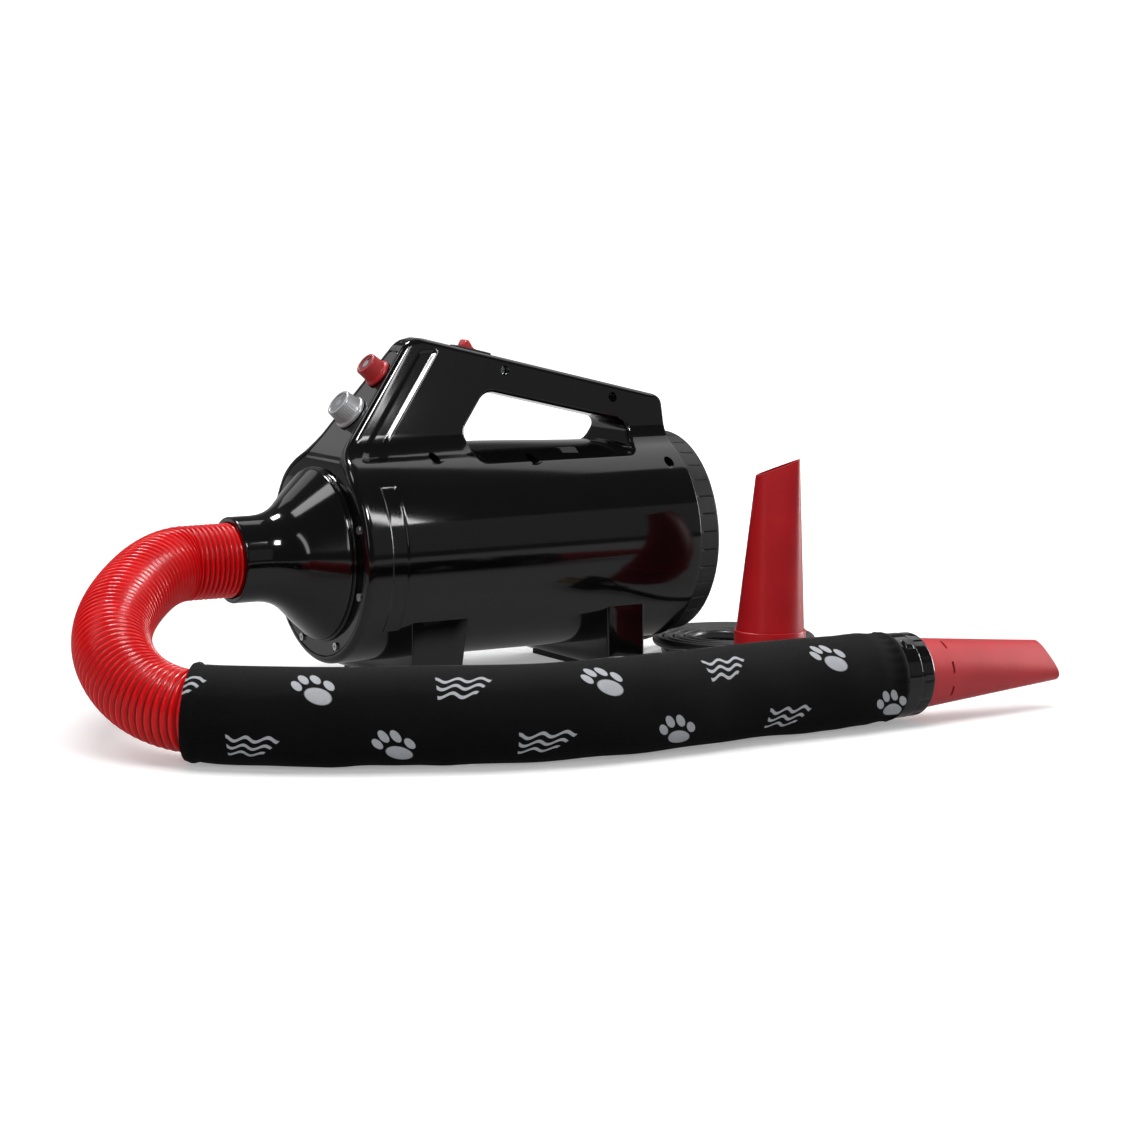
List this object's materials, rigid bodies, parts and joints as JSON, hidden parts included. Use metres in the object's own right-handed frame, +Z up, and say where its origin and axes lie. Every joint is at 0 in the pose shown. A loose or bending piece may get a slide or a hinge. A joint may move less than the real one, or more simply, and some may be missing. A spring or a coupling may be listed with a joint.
{
  "type": "pet dryer",
  "caption": "Portable blower for drying animals: barrel with carrying handle, hose in a cloth sleeve, swivelling flat nozzle and a spare nozzle.",
  "frame": {"origin": "on the floor, on the middle plane, under the middle of the front foot", "axes": "+X along the barrel from the air outlet to the filter end, +Z up, +Y to the far side"},
  "size_m": [0.6981, 0.4725, 0.2677],
  "materials": {
    "black_shell": "glossy black moulded plastic",
    "dark_plastic": "satin black moulded plastic",
    "red_plastic": "red translucent moulded plastic",
    "red_hose": "glossy red flexible plastic",
    "silver_knob": "satin silver",
    "steel": "plated steel",
    "iron": "lacquered laminations",
    "copper": "enamelled copper",
    "carbon": "pressed carbon",
    "brass": "bare brass",
    "tin": "zinc-plated sheet",
    "alloy": "plain aluminium",
    "white_plastic": "heat-proof moulding",
    "board_green": "circuit board",
    "rubber": "black rubber",
    "foam": "open foam",
    "cloth": "black knitted sleeve",
    "cord": "black flexible lead"
  },
  "bodies": {
    "dryer": {"brush_holders": "brass", "brushes": "carbon", "case_screws": "steel", "control_board": "board_green", "cord_coil": "cord", "cord_gland": "cord", "diffuser": "tin", "fan_housing": "tin", "field_winding": "copper", "front_bearing": "steel", "front_foot_pad": "rubber", "front_panel": "dark_plastic", "heat_control": "tin", "heat_nut": "steel", "heat_sink": "alloy", "heater": "alloy", "heater_frame": "white_plastic", "hose": "red_hose", "hose_cuff": "black_shell", "hose_sleeve": "cloth", "housing_left": "black_shell", "housing_right": "black_shell", "motor_bracket": "dark_plastic", "motor_can": "tin", "motor_mount": "rubber", "outlet_cone": "black_shell", "panel_screws": "steel", "plug": "cord", "plug_pins": "brass", "power_cord": "cord", "power_switch": "dark_plastic", "rear_bearing": "steel", "rear_foot_pad": "rubber", "speed_control": "tin", "speed_nut": "steel", "stator": "iron"},
    "speed_dial": {"speed_knob": "silver_knob", "speed_shaft": "white_plastic"},
    "heat_dial": {"heat_knob": "red_plastic", "heat_shaft": "white_plastic"},
    "rocker": {"power_rocker": "red_plastic"},
    "rotor": {"rotor_shaft": "steel", "armature": "iron", "commutator": "copper", "front_impeller": "alloy", "rear_impeller": "alloy"},
    "filter": {"filter_basket": "dark_plastic", "filter_foam": "foam"},
    "cover": {"rear_cover": "black_shell", "rear_grille": "dark_plastic"},
    "collar": {"swivel_collar": "black_shell"},
    "fitted_nozzle": {"nozzle": "red_plastic"},
    "loose_nozzle": {"spare_nozzle": "red_plastic"}
  },
  "joints": [
    {"name": "speed_turn", "type": "hinge", "parent": "dryer", "child": "speed_dial", "pos_m": [-0.03807, 0, 0.21075], "axis": [-0.7848, 0, 0.6198], "range_deg": [-270, 0]},
    {"name": "heat_turn", "type": "hinge", "parent": "dryer", "child": "heat_dial", "pos_m": [-0.01477, 0, 0.24025], "axis": [-0.7848, 0, 0.6198], "range_deg": [-270, 0]},
    {"name": "power_rock", "type": "hinge", "parent": "dryer", "child": "rocker", "pos_m": [0.06576, 0, 0.25497], "axis": [0, -1, 0], "range_deg": [0, 14]},
    {"name": "rotor_spin", "type": "hinge", "parent": "dryer", "child": "rotor", "pos_m": [0.044, 0, 0.104], "axis": [1, 0, 0], "continuous": true},
    {"name": "filter_pull", "type": "slide", "parent": "dryer", "child": "filter", "axis": [1, 0, 0], "range_m": [0, 0.045]},
    {"name": "cover_twist", "type": "hinge", "parent": "filter", "child": "cover", "pos_m": [0.238, 0, 0.104], "axis": [1, 0, 0], "range_deg": [0, 20]},
    {"name": "collar_swivel", "type": "hinge", "parent": "dryer", "child": "collar", "pos_m": [0.235, -0.346, 0.034], "axis": [1, 0, 0], "continuous": true},
    {"name": "nozzle_pull", "type": "slide", "parent": "collar", "child": "fitted_nozzle", "axis": [1, 0, 0], "range_m": [0, 0.06]},
    {"name": "spare_nozzle_lift", "type": "slide", "parent": "dryer", "child": "loose_nozzle", "axis": [0, 0, 1], "range_m": [0, 0.2]}
  ]
}
